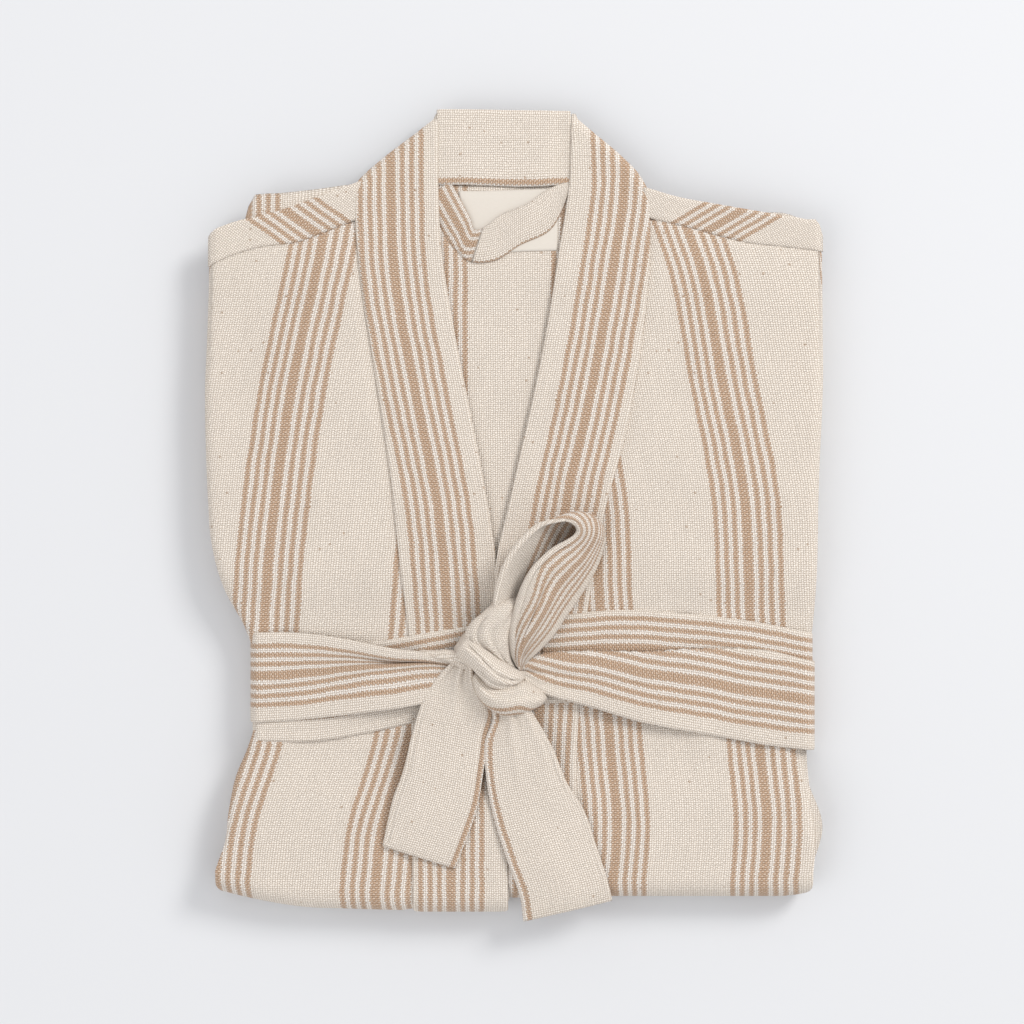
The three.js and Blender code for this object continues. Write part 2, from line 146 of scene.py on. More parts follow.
def run_across(*places):
    """How much cloth lies between a row's first point and each of its points."""
    step = np.sqrt(sum(np.diff(place, axis=1) ** 2 for place in places))
    return np.concatenate([np.zeros((len(step), 1)), np.cumsum(step, 1)], 1)


def ripple(x, y, size, seed):
    """Soft bumps from -1 to 1, about size apart."""
    lattice = np.random.default_rng(seed).uniform(-1, 1, (97, 97))
    gx, gy = np.asarray(x) / size + 41.3, np.asarray(y) / size + 37.7
    ix, iy = np.floor(gx).astype(int), np.floor(gy).astype(int)
    fx, fy = ease(gx - ix), ease(gy - iy)
    pick = lambda a, b: lattice[(ix + a) % 97, (iy + b) % 97]
    near = pick(0, 0) * (1 - fx) + pick(1, 0) * fx
    far = pick(0, 1) * (1 - fx) + pick(1, 1) * fx
    return near * (1 - fy) + far * fy

# %% [markdown]
# ## The cloth
# It is a plain weave of thick yarns, 1.78 mm from one warp to the next and 1.72 mm from one weft to
# the next. Tan stripes make a group, and a group repeats every 64 warps. A painted picture of cloth
# could be wrapped on, but it would stretch and would blur close up. So the shader works the yarns out
# from a map of the cloth as it was cut, in metres, and the stripes follow every fold. A small helper
# keeps the many maths nodes readable.

# %% Node helper
warp_pitch, weft_pitch, repeat_warps = 1.78, 1.72, 64
group_half_warps, stripe_every, stripe_warps = 14.3, 4.0, 2.05
group_step = warp_pitch * repeat_warps
plain_shift = group_step / 2
cream, tan = (0.95, 0.885, 0.80, 1), (0.605, 0.42, 0.285, 1)


class Wires:
    """Small helper that adds math nodes and returns their outputs."""

    def __init__(self, name):
        self.material = bpy.data.materials.new(name)
        self.material.use_nodes = True
        self.nodes = self.material.node_tree.nodes
        self.links = self.material.node_tree.links
        self.shader = self.nodes["Principled BSDF"]

    def node(self, kind, **settings):
        made = self.nodes.new(kind)
        for key, value in settings.items():
            setattr(made, key, value)
        return made

    def feed(self, socket, value):
        if isinstance(value, bpy.types.NodeSocket):
            self.links.new(value, socket)
        else:
            socket.default_value = value

    def math(self, operation, a, b=0.0, c=0.0):
        made = self.node("ShaderNodeMath", operation=operation)
        for socket, value in zip(made.inputs, (a, b, c)):
            self.feed(socket, value)
        return made.outputs[0]

    def times(self, a, b):
        return self.math("MULTIPLY", a, b)

    def plus(self, a, b):
        return self.math("ADD", a, b)

    def minus(self, a, b):
        return self.math("SUBTRACT", a, b)

    def scaled(self, value, scale, start):
        return self.math("MULTIPLY_ADD", value, scale, start)

    def mix(self, factor, a, b, blend="MIX"):
        made = self.node("ShaderNodeMix", data_type="RGBA", blend_type=blend)
        self.feed(made.inputs[0], factor)
        self.feed(made.inputs[6], a)
        self.feed(made.inputs[7], b)
        return made.outputs[2]

    def noise(self, vector, scale, detail=2.0):
        made = self.node("ShaderNodeTexNoise")
        self.feed(made.inputs["Vector"], vector)
        made.inputs["Scale"].default_value = scale
        made.inputs["Detail"].default_value = detail
        return made.outputs["Fac"]

# %% [markdown]
# The weave is built in the order that a weaver would think of it: where each yarn lies, which warps
# are tan, which yarn is on top at a crossing, then the shade of the yarn, its hollows and a few
# slubs. Constants such as the sheen are set straight on the shader's own sockets.

# %% Weave material


def weave(name):
    w = Wires(name)
    uv = w.node("ShaderNodeUVMap", uv_map="cloth").outputs[0]
    apart = w.node("ShaderNodeSeparateXYZ")
    w.links.new(uv, apart.inputs[0])
    across, along = apart.outputs[0], apart.outputs[1]
    # Yarns wander, swell and bend round each other, so the grid is never ruler-straight.
    wander = w.times(w.minus(w.noise(uv, 45.0, 1.0), 0.5), 0.0016)
    jitter = w.times(w.minus(w.noise(uv, 430.0, 1.0), 0.5), 0.0011)
    plain_warp = w.math("DIVIDE", w.plus(w.plus(across, wander), jitter), warp_pitch * MM)
    plain_weft = w.math("DIVIDE", w.minus(along, jitter), weft_pitch * MM)
    wave = lambda value: w.math("SINE", w.times(value, 2 * math.pi))
    warp = w.scaled(wave(plain_weft), 0.08, plain_warp)
    weft = w.scaled(wave(w.times(plain_warp, 0.5)), 0.12, plain_weft)
    # A stripe's edge is ragged, because its outer warps are hidden on every second weft.
    odd_row = w.math("ABSOLUTE", w.math("MODULO", w.math("FLOOR", weft), 2.0))
    ragged = w.scaled(w.minus(odd_row, 0.5), 0.55, warp)
    offset = w.math("PINGPONG", ragged, repeat_warps / 2)
    inside_group = w.math("LESS_THAN", offset, group_half_warps)
    on_stripe = w.math("LESS_THAN", w.math("MODULO", offset, stripe_every), stripe_warps)
    striped = w.times(inside_group, on_stripe)
    # Which yarn is on top alternates like a chessboard.
    parity = w.math("MODULO", w.plus(w.math("FLOOR", warp), w.math("FLOOR", weft)), 2.0)
    weft_over = w.math("ABSOLUTE", parity)
    arch = lambda value: w.math("SINE", w.times(w.math("FRACT", value), math.pi))
    across_arch, along_arch = arch(warp), arch(weft)
    soft = lambda value: w.scaled(value, 0.45, 0.55)
    warp_dome = w.times(across_arch, soft(along_arch))
    weft_dome = w.times(along_arch, soft(across_arch))
    dome = w.plus(w.times(warp_dome, w.minus(1.0, weft_over)), w.times(weft_dome, weft_over))
    # The weft is always cream, so it lightens a tan stripe where it crosses over.
    covered = w.times(weft_over, w.scaled(dome, 0.30, 0.05))
    strength = w.times(striped, w.minus(1.0, covered))
    yarn = w.mix(strength, cream, tan)
    # White slack yarns run beside the stripes inside a group.
    gap = w.times(inside_group, w.minus(1.0, on_stripe))
    yarn = w.mix(w.times(gap, 0.6), yarn, (0.97, 0.925, 0.875, 1))
    stretched = w.node("ShaderNodeMapping")
    stretched.inputs["Scale"].default_value = (520.0, 30.0, 1.0)
    w.links.new(uv, stretched.inputs[0])
    thick_thin = w.scaled(w.noise(stretched.outputs[0], 1.0), 0.14, 0.93)
    patchy = w.scaled(w.noise(uv, 22.0), 0.09, 0.955)
    # Painted shade: the hollows between the yarns are darkened in the colour itself. Light that reaches
    # them has bounced off warm yarn, so they are brown rather than grey.
    ribbed = w.scaled(along_arch, 0.9, 0.1)
    ribbing = w.times(striped, 0.75)
    relief = w.plus(w.times(dome, w.minus(1.0, ribbing)), w.times(ribbed, ribbing))
    hollow = w.scaled(relief, 0.85, 0.10)
    tone = w.mix(hollow, (0.50, 0.42, 0.34, 1), (1.03, 1.03, 1.03, 1))
    # Painted shade: in a stripe the dip between two weft rows is darkened further, towards dark brown.
    deep = w.times(striped, w.minus(0.62, ribbed))
    yarn = w.mix(w.math("MAXIMUM", deep, 0.0), yarn, (0.30, 0.18, 0.10, 1))
    coloured = w.mix(1.0, yarn, tone, "MULTIPLY")
    grain = w.scaled(w.noise(uv, 620.0, 1.0), 0.30, 0.85)
    shade = w.times(w.times(thick_thin, patchy), grain)
    grey = w.node("ShaderNodeCombineColor")
    for socket in grey.inputs[:3]:
        w.links.new(shade, socket)
    coloured = w.mix(1.0, coloured, grey.outputs[0], "MULTIPLY")
    # Slubs: a few short brown bits of flax caught in the yarn.
    spots = w.node("ShaderNodeTexVoronoi")
    w.links.new(uv, spots.inputs["Vector"])
    spots.inputs["Scale"].default_value = 110.0
    chosen = w.node("ShaderNodeSeparateColor")
    w.links.new(spots.outputs["Color"], chosen.inputs[0])
    close = w.math("LESS_THAN", spots.outputs["Distance"], 0.11)
    slub = w.times(close, w.math("GREATER_THAN", chosen.outputs[0], 0.66))
    coloured = w.mix(w.times(slub, 0.55), coloured, (0.36, 0.22, 0.12, 1))
    w.links.new(coloured, w.shader.inputs["Base Color"])
    bump = w.node("ShaderNodeBump")
    bump.inputs["Distance"].default_value = 0.0006
    bump.inputs["Strength"].default_value = 0.9
    w.links.new(dome, bump.inputs["Height"])
    w.links.new(bump.outputs[0], w.shader.inputs["Normal"])
    w.shader.inputs["Roughness"].default_value = 0.92
    w.shader.inputs["Specular IOR Level"].default_value = 0.25
    w.shader.inputs["Sheen Weight"].default_value = 0.12
    w.shader.inputs["Sheen Roughness"].default_value = 0.6
    return w.material


robe_cloth = weave("robe_cloth")
sash_cloth = weave("sash_cloth")
print("stripe groups every", round(group_step, 1), "mm")

# %% [markdown]
# ## From a grid to a piece of cloth
# Every piece starts as a grid of places and a matching grid of millimetres on the flat cloth. The
# grid is given two faces and a closed edge, so each piece is a real thin solid.

# %% Cloth maker


def lattice(rows, columns):
    index = np.arange(rows * columns).reshape(rows, columns)
    a, b, c, d = index[:-1, :-1], index[:-1, 1:], index[1:, 1:], index[1:, :-1]
    return index, np.stack([a, b, c, d], -1).reshape(-1, 4)


def facing(place):
    """The direction that a grid faces at each of its points."""
    normal = np.cross(np.gradient(place, axis=1), np.gradient(place, axis=0))
    return normal / np.maximum(np.linalg.norm(normal, axis=2, keepdims=True), 1e-9)


def rim(index):
    """The border of the grid in order, once round."""
    return np.r_[index[0, :], index[1:, -1], index[-1, -2::-1], index[-2:0:-1, 0]]


def make_mesh(name, points, faces, map_mm, material):
    mesh = bpy.data.meshes.new(name)
    mesh.from_pydata((points * MM).tolist(), [], faces.tolist())
    layer = mesh.uv_layers.new(name="cloth")
    corner = np.zeros(len(mesh.loops), int)
    mesh.loops.foreach_get("vertex_index", corner)
    layer.data.foreach_set("uv", (map_mm[corner] * MM).astype(np.float32).ravel())
    mesh.polygons.foreach_set("use_smooth", np.ones(len(mesh.polygons), bool))
    mesh.materials.append(material)
    made = bpy.data.objects.new(name, mesh)
    bpy.context.scene.collection.objects.link(made)
    return made


def cloth(name, place, flat, thick, nodes, body="robe", material=None):
    """A closed piece of cloth from a grid of places, thick in millimetres, standing for CAD nodes."""
    rows, columns = place.shape[:2]
    normal = facing(place)
    half = np.broadcast_to(np.asarray(thick, float) / 2, (rows, columns)).copy()
    half[[0, -1], :] *= 0.6
    half[:, [0, -1]] *= 0.6
    shift = normal * half[..., None]
    index, faces = lattice(rows, columns)
    count = rows * columns
    border = rim(index)
    after = np.roll(border, -1)
    walls = np.stack([after, border, border + count, after + count], -1)
    all_faces = np.vstack([faces, faces[:, ::-1] + count, walls])
    points = np.vstack([(place + shift).reshape(-1, 3), (place - shift).reshape(-1, 3)])
    points[:, 2] = np.maximum(points[:, 2], 0.05)
    flat_map = np.vstack([flat.reshape(-1, 2)] * 2)
    made = make_mesh(f"{name}_cloth", points, all_faces, flat_map, material or robe_cloth)
    if nodes:
        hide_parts(*nodes)
    if isinstance(body, str):
        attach(made, body)
    return made

# %% [markdown]
# ## How the stack lies
# The sash squeezes the stack, the collar droops past the thick part, and the whole turns round the
# bottom fold. One function turns a layer's depth into a height anywhere, so layers can't pass through
# each other.

# %% Heights and fold path
hem_y = 178.0
press_high, press_low, press_run = -84.0, -180.0, 46.0
foot_lift = 4.6
pressed_top = 27.0
droop_y, collar_droop = 184.0, 8


def pressed(y):
    above = ease((press_high + press_run - y) / press_run)
    below = ease((y - press_low + press_run) / press_run)
    return above * below


def foot(y):
    return foot_lift * pressed(y)


def top(y):
    drooping = np.clip((y - droop_y) / (collar_top - droop_y), 0, 1)
    return stack - (stack - pressed_top) * pressed(y) - collar_droop * drooping


def level(depth, y):
    """Height of a layer that lies depth below the top face of the stack."""
    low = foot(y)
    return low + (stack - depth) / stack * (top(y) - low)


def leg_rows(start, stop, step=5.0):
    """Rows down the front, round the fold and up behind: each has a y and a turning angle."""
    turns = 14
    down = np.arange(start, fold_y, -step)
    up = np.arange(fold_y + step, stop, step)
    turn = np.linspace(0, math.pi, turns)
    y = np.r_[down, np.full(turns, fold_y), up]
    return y, np.r_[np.zeros(len(down)), turn, np.full(len(up), math.pi)]


def lay(y, angle, depth):
    """Heights and places of layer points, for rows of y and fold angle and a depth at each point."""
    radius = half_stack - depth
    turning = (angle > 1e-6) & (angle < math.pi - 1e-6)
    place_y = np.where(turning, y - radius * np.sin(angle), y)
    upper, lower = level(depth, y), level(stack - depth, y)
    round_z = half_stack + radius * np.cos(angle)
    return place_y, np.where(turning, round_z, np.where(angle < 1, upper, lower))


def path_length(y, angle, depth):
    place_y, place_z = lay(y, angle, np.full_like(y, depth))
    return np.r_[0, np.cumsum(np.hypot(np.diff(place_y), np.diff(place_z)))]


def swell(x, y):
    """Soft rise and fall of the robe's top, with small gathers beside the sash."""
    broad = 0.9 * ripple(x, y, 95, 3) + 0.45 * ripple(x, y, 42, 8)
    near = np.exp(-np.maximum(0, np.maximum(y - press_high, press_low - y)) / 42)
    return broad + 2.2 * near * ripple(x, y / 5, 19, 5)

# %% [markdown]
# ## Outlines
# The neckbands run down from the back of the neck, meet where the sash is tied and go on to the hem.
# The sides are fold lines: wide at the shoulders, drawn in under the sash, and wide again near the
# fold.

# %% Outlines of bands and sides
left_band_outer = outline(
    (304, -61), (292, -76), (272, -102), (254, -121), (225, -122), (183, -118), (103, -106),
    (37, -96), (-37, -88), (-90, -82), (-180, -79), (-301, -78))
left_band_inner = outline(
    (304, -59), (253, -59), (208, -57), (142, -47), (76, -34), (19, -23), (-38, -14), (-79, -9),
    (-140, -6), (-301, -6))
right_band_inner = outline(
    (304, 43), (253, 41), (201, 33), (149, 25), (103, 16), (60, 6.5), (5, -6), (-30, -14), (-64, -16),
    (-120, -8), (-170, -9), (-301, -9))
right_band_outer = outline(
    (304, 46), (292, 60), (276, 79), (262, 93), (250, 100), (225, 102), (193, 102), (158, 99),
    (114, 93), (68, 85), (0, 67), (-64, 56), (-174, 47), (-301, 46))
left_stripe = outline(
    (304, -95), (253, -95), (194, -93), (88, -75), (12, -60), (-90, -51), (-174, -49), (-301, -49))
right_stripe = outline(
    (304, 81), (253, 83), (194, 75), (88, 56), (12, 39), (-90, 24), (-174, 17), (-301, 16))
left_side = outline(
    (212, -234), (12, -233.5), (-19, -231), (-57, -221), (-88, -205), (-110, -199), (-160, -199),
    (-178, -204), (-198, -212), (-228, -218), (-257, -221), (-284, -228))
right_side = outline(
    (212, 234), (88, 233), (12, 230), (-72, 227.5), (-110, 224), (-160, 223), (-180, 221.5),
    (-215, 224), (-250, 227.5), (-272, 227.5), (-284, 226))
left_group = outline(
    (253, -139), (209, -147), (88, -172), (-34, -188), (-95, -193), (-174, -205), (-239, -224),
    (-290, -230))
right_group = outline(
    (253, 118), (223, 129), (194, 139), (103, 157), (12, 174), (-64, 178), (-174, 186), (-239, 191),
    (-290, 187))
left_seam = outline(
    (-236, 190), (-216, 199), (-197, 205), (-164, 210), (-148, 216), (-120, 227))
right_seam = outline(
    (97, 229), (117, 224), (134, 220), (155, 214), (176, 209), (201, 206), (236, 202))


def bottom_shift(x):
    """The bottom fold rises at the corners, and its right half lies a little higher."""
    left = -2.5 * np.exp(-((x + 65) / 70) ** 2) + 14 * np.clip(-(x + 150) / 80, 0, 1) ** 1.6
    right = 8.5 + 4 * np.clip((x - 200) / 28, 0, 1) ** 2
    return np.where(x < -4, left, right)


def near_fold(y):
    return ease((-y - 205) / 75)

# %% [markdown]
# ## Front panels
# A front is one cloth from the shoulder seam to the hem. At the side it rolls over the fold and tucks
# behind; at the bottom it turns and goes up the back. Its edge runs under the neckband, which is sewn
# on it.

# %% Front panels
ply = 1.3


def panel_grid(y, inner, outer, side, depth, radius, drop, tuck):
    """Places across a panel from its inner edge to the side, round the roll and a little way back."""
    columns = 46
    share = np.linspace(0, 1, columns)[None, :]
    edge = outer - side * radius
    x_flat = inner + (edge - inner) * share
    arc = np.linspace(0, math.pi, 11)[None, 1:]
    x_arc = edge + side * radius * np.sin(arc)
    back = np.array([0.35, 0.7, 1.0])[None, :]
    x_back = edge - side * tuck * back
    x = np.concatenate([x_flat, np.broadcast_to(x_arc, (len(y), arc.size)), x_back], 1)
    zero = np.zeros((len(y), columns))
    sink = np.concatenate([zero, drop * (1 - np.cos(arc)) / 2, np.broadcast_to(drop, (len(y), 3))], 1)
    return x, depth + sink


def front(name, side, outer_line, band_line, seam_line, group_line):
    y_row, angle = leg_rows(226, hem_y)
    under = y_row[:, None]
    is_back = angle[:, None] > 1
    guide = np.where(is_back, np.minimum(under, -110), under)
    inner = band_line(guide) + -side * 7
    near_bottom = np.where(angle > 0, 1.0, near_fold(y_row))[:, None]
    near_bottom = np.where(angle[:, None] > 3, near_fold(y_row)[:, None], near_bottom)
    radius = 8 - 4.5 * near_bottom
    drop = 11 - 8 * near_bottom
    tuck = 60 - 52 * near_bottom
    outer = outer_line(under) + side * 1.2 * ripple(under, is_back * 300.0, 60, 11)
    x, depth = panel_grid(under, inner, outer, side, 2.0, radius, drop, tuck)
    upper_share = np.clip((y_row - 90) / 136, 0, 1)[:, None] * ~is_back
    y = under + upper_share * (seam_line(x) - 226) + 0 * x
    y = y + near_bottom * bottom_shift(x)
    beside = np.clip(np.abs(x - band_line(guide)) / 9, 0, 1)
    depth = depth + 1.5 * (1 - ease(beside))
    seam_dip = np.exp(-(np.abs(y - seam_line(x)) / 3.5) ** 2) * ~is_back * 0.8
    rise = np.where(is_back, -np.abs(swell(x, y)) * 0.3, swell(x, y)) * (1 - 0.7 * near_bottom)
    place_y, z = lay(y, angle[:, None] + 0 * x, depth + seam_dip)
    z = z + np.where((depth < 4.5) & (angle[:, None] < 0.5), rise, 0)
    length = path_length(y_row, angle, 2.0)
    round_share = ease(angle[:, None] / math.pi)
    group_x = group_line(y * (1 - round_share) - 250 * round_share)
    start_u = (x - group_x)[:, :1]
    along = -length[:, None] + (y - under) * (1 - round_share)
    flat = np.stack([start_u + side * run_across(x, depth), along], -1)
    flat[..., 0] = np.where(depth < 4.2, x - group_x, flat[..., 0])
    flat[..., 0] = np.where(flat[..., 0] > 0, 0.93 * flat[..., 0], flat[..., 0])
    place = np.stack([x, place_y, z], -1)
    return cloth(name, place, flat, ply, [f"{name}_panel"])


front("left_front", -1, left_side, left_band_outer, left_seam, left_group)
front("right_front", 1, right_side, right_band_outer, right_seam, right_group)

# %% [markdown]
# ## Neckbands
# The band is the robe's border: one long double strip, doubled and sewn over the front's raw edge,
# that runs up each front and round the neck. Rows run across it and follow the same fold path as the
# fronts. Its two long edges are thin and rounded, and a line of stitching sinks in beside each.

# %% Neckbands
share_line = np.linspace(0, 1, 34)
edge_share = 0.5 * share_line + 0.5 * (0.5 - 0.5 * np.cos(math.pi * share_line))


def stitched(distance, at=4.5, deep=0.4):
    """How far a doubled edge sinks: a rounded rim and a line of stitching."""
    return 0.9 * np.exp(-((distance / 1.5) ** 2)) + deep * np.exp(-(((distance - at) / 0.8) ** 2))


def neckband(name, inner_line, outer_line, stripe_line, over=None):
    y_row, angle = leg_rows(307, hem_y - 1, 4.5)
    under, turned = y_row[:, None], angle[:, None]
    guide = np.where(turned > 1, np.minimum(under, -220), under)
    inner, outer = inner_line(guide), outer_line(guide)
    x = inner + (outer - inner) * edge_share[None, :]
    distance = np.minimum(edge_share, 1 - edge_share)[None, :] * np.abs(outer - inner)
    depth = 1.2 + stitched(distance)
    collar = ease((under - 235) / 25) * (turned < 1)
    outer_gap = (1 - edge_share)[None, :] * np.abs(outer - inner)
    depth = depth + 4.0 * collar * np.exp(-((outer_gap / 4) ** 2))
    near_bottom = near_fold(under)
    if over is not None:
        depth = depth + 2.7 * ease((over(guide) + 4 - x) / 5) * ease((-135 - guide) / 25)
    middle = float(np.mean([inner_line(-290.0), outer_line(-290.0)]))
    y = under + near_bottom * bottom_shift(middle)
    place_y, z = lay(y, turned + 0 * x, depth)
    soft = swell(x, y) * 0.7 * (1 - near_bottom) * (turned < 0.5)
    if over is not None:
        beside = ease((over(guide) + 8 - x) / 9) * ease((40 - under) / 30) * ease((under + 150) / 25)
        soft = soft + 2.8 * beside * (turned < 0.5)
    length = path_length(y_row, angle, 1.2)
    u = stripe_line(guide) - x
    flat = np.stack([u, np.broadcast_to(-length[:, None], x.shape)], -1)
    place = np.stack([x, place_y, z + soft], -1)
    return cloth(name, place, flat, 2.2, [name])


neckband("left_neckband", left_band_inner, left_band_outer, left_stripe)
neckband("right_neckband", right_band_inner, right_band_outer, right_stripe, over=left_band_inner)

# %% [markdown]
# Behind the neck the same band stands up and folds over flat. Only its plain half shows, with the
# edge stripe of the weave just above the seam.

# %% Back neckband
x_row = np.linspace(neck_low[0] - 3.5, neck_high[0] + 3.5, 44)
turn_over = np.linspace(math.pi, 0, 9)
y_down = np.linspace(collar_top - 2.2, neck_seam - 0.6, 30)
y_neck = np.r_[collar_top - 2.2 + 2.2 * np.sin(turn_over[:-1]), y_down]
d_neck = np.r_[2.4 + 2.2 * (1 - np.cos(turn_over[:-1])), np.full(30, 2.4)]
sag = 1.6 * np.exp(-(((x_row - 6) / 26) ** 2))[None, :]
y_grid = y_neck[:, None] - sag * ease((268 - y_neck[:, None]) / 15)
y_grid = y_grid - 1.2 * ease((x_row[None, :] + 60) / 100) * ease((y_grid - 290) / 15)
narrow = ease((y_grid - 292) / 17)
centre_x = (neck_low[0] + neck_high[0]) / 2
x_grid = centre_x + (x_row[None, :] - centre_x) * (1 - 0.03 * narrow)
dip = 2.2 * np.exp(-(((x_grid - 36) / 9) ** 2)) + 1.4 * np.exp(-(((x_grid + 60) / 8) ** 2))
dip = dip + stitched(y_grid - neck_seam + 1.5, 5.5, 0.3)
z_grid = level(d_neck[:, None] + dip, y_grid) + 0.8 * ripple(x_grid, y_grid, 33, 21)
run_neck = np.r_[0, np.cumsum(np.hypot(np.diff(y_neck), np.diff(d_neck)))]
across = 21.6 + (run_neck[-1] - run_neck)[:, None] - 1.6 + 0 * x_grid
cloth("back_neckband", np.stack([x_grid, y_grid, z_grid], -1), np.stack([across, x_grid], -1).copy(), 2.2,
      ["back_neckband"])

# %% [markdown]
# ## Back panel and yokes
# The back lies face down inside the stack and shows through the open neck. At the shoulder the cloth
# of the back comes over the top to the front and is seamed there, so its stripes slant across the
# yoke.

# %% Back panel
back_top = outline(
    (-236, 214), (-215, 217), (-207, 221), (-204.6, 232), (-202.4, 242), (-197, 244.6), (-181, 246),
    (-153, 249), (-124, 253), (0, 252), (100, 249), (126, 239), (171, 231), (222, 222), (233, 210))
y_row, angle = leg_rows(253, hem_y + 1)
under, turned = y_row[:, None], angle[:, None]
lower_corner = np.exp(-(((under + 238) / 38) ** 2)) * (turned == 0)
side_low = left_side(under) + 5 + 2 * (turned > 0)
side_high = right_side(under) - 5 + 12 * lower_corner
x = side_low + (side_high - side_low) * np.linspace(0, 1, 92)[None, :]
rising = np.clip((under - 150) / 103, 0, 1) * (turned < 1)
y = under + rising * (back_top(x) - 253) + near_fold(under) * bottom_shift(x) * 0.9
place_y, z = lay(y, turned + 0 * x, 5.3 + 0 * x)
z = z + 0.5 * ripple(x, y, 60, 31) * (turned < 0.5) * (under > 120)
length = path_length(y_row, angle, 5.3)
u_back = x + 61.7 + 29.1 * ease((-x - 80) / 100) * (1 - ease(turned / math.pi))
flat = np.stack([u_back, -length[:, None] + 0 * x], -1)
cloth("back_panel", np.stack([x, place_y, z], -1), flat, ply, ["back_panel"])

# %% [markdown]
# A yoke is the strip between the shoulder fold and the forward seam. It could be part of the back's
# grid, but its stripes run at a slant and its edge rolls over, so it is made alone. Its ends are
# pinched shut.

# %% Yokes


def yoke(name, start, stop, top_line, seam_line, stripes):
    x_row = np.linspace(start, stop, 46)[None, :]
    turn = np.linspace(math.pi, 0, 9)[:, None]
    radius = 2.2
    upper, lower = top_line(x_row), seam_line(x_row) - 1.2
    y_roll = upper - radius + radius * np.sin(turn)
    d_roll = 1.5 + radius * (1 - np.cos(turn)) + 0 * x_row
    share = np.linspace(0, 1, 14)[1:, None]
    y_flat = (upper - radius) * (1 - share) + lower * share
    d_flat = 1.5 + 0.9 * np.exp(-(((1 - share) * (upper - lower) / 1.8) ** 2)) + 0 * x_row
    y, d = np.vstack([y_roll, y_flat]), np.vstack([d_roll, d_flat])
    x = np.broadcast_to(x_row, y.shape)
    side_gap = np.minimum(np.abs(x - left_side(212.0)), np.abs(x - right_side(212.0)))
    d = d + (5.9 - d) * np.exp(-((side_gap / 3.2) ** 2))
    z = level(d, y) + swell(x, y) * (d < 4)
    place = np.stack([x, y, z], -1)
    return cloth(name, place, stripes(x, y), ply, [name])


left_top = outline(
    (-236, 210), (-231, 216), (-221, 221), (-205, 226), (-180, 232), (-155, 241), (-118, 255))
right_top = outline(
    (95, 251), (126, 242), (148, 238), (171, 234), (199, 229), (222, 225), (231, 222), (235, 211))


def left_slant(x, y):
    return np.stack([(0.578 * x + 0.816 * y - 88) * 1.1, (0.816 * x - 0.578 * y)], -1)


def right_slant(x, y):
    return np.stack([-(-0.515 * x + 0.857 * y - 110.5) * 1.25, (0.857 * x + 0.515 * y)], -1)


yoke("left_yoke", -234.2, -118, left_top, left_seam, left_slant)
yoke("right_yoke", 97, 234.2, right_top, right_seam, right_slant)

# %% [markdown]
# ## Sleeves and cuffs
# The sleeves are folded in behind the back, with their cuffs towards the hem. A sleeve pressed flat
# is a tube with two flat walls and a tight turn at each side. One grid goes round it from seam to
# seam, so its two walls are one cloth, as they are on the robe. The cuff is the same tube, a little
# wider.

# %% Sleeves and cuffs


def tube(name, low_x, high_x, low_y, high_y, depth_top, depth_low, shift):
    """A flat tube: round it from one seam and back, along it from cuff to shoulder."""
    radius = (depth_low - depth_top) / 2
    y = np.linspace(low_y, high_y, 70)[:, None]
    side_line = left_side if low_x < 0 else right_side
    outside = side_line(np.clip(y, -284, 212)) + (4 if low_x < 0 else -4)
    near, far = (outside, high_x + 0 * y) if low_x < 0 else (low_x + 0 * y, outside)
    share = np.linspace(0, 1, 30)[None, :]
    arc = np.linspace(0, math.pi, 9)[None, 1:-1]
    over_x = (near + radius) + (far - near - 2 * radius) * share
    end_x = (far - radius) + radius * np.sin(arc)
    start_x = (near + radius) - radius * np.sin(arc)
    middle = (depth_top + depth_low) / 2
    x = np.concatenate([over_x, end_x, over_x[:, ::-1], start_x, over_x[:, :1]], 1)
    swing = radius * np.cos(arc) + 0 * y
    d = np.concatenate([over_x * 0 + depth_top, middle - swing, over_x * 0 + depth_low,
                        middle + swing, over_x[:, :1] * 0 + depth_top], 1)
    z = level(d, y)
    flat = np.stack([run_across(x, d) + shift, y + 0 * x], -1)
    return cloth(name, np.stack([x, y + 0 * x, z], -1), flat, ply, [name])


sleeve_ends, sleeve_depths = (-236, 199), (13.6, 20.6)
cuff_ends, cuff_depths = (-271, -234), (12.4, 21.8)
tube("left_sleeve", -1, -10, *sleeve_ends, *sleeve_depths, 12)
tube("right_sleeve", 10, 1, *sleeve_ends, *sleeve_depths, 40)
tube("left_cuff", -1, -9, *cuff_ends, *cuff_depths, plain_shift)
tube("right_cuff", 9, 1, *cuff_ends, *cuff_depths, plain_shift)

# %% [markdown]
# ## Pockets and belt carriers
# Both are flat patches sewn on the lower fronts and the side seams, so they lie hidden once the robe
# is folded. A patch is a flat grid with a stitch line sunk inside its border and a soft crown.

# %% Pockets and belt carriers


def patch(name, low_x, high_x, low_y, high_y, depth, shift, thick, bulge=0.6, hem_at=None):
    rows = columns = 26
    x = np.linspace(low_x, high_x, columns)[None, :] + np.zeros((rows, 1))
    y = np.linspace(high_y, low_y, rows)[:, None] + 0 * x
    rim_gap = np.minimum(np.minimum(x - low_x, high_x - x), np.minimum(y - low_y, high_y - y))
    sink = 0.35 * np.exp(-(((rim_gap - 3) / 1.0) ** 2))
    if hem_at is not None:
        sink = sink + 0.4 * np.exp(-(((y - hem_at) / 1.2) ** 2))
    z = level(depth, y) - np.sign(stack / 2 - depth) * (sink - bulge * np.clip(rim_gap / 14, 0, 1))
    flat = np.stack([x + shift, y], -1)
    place = np.stack([x, y, z], -1)
    return cloth(name, place, flat, thick, [name])


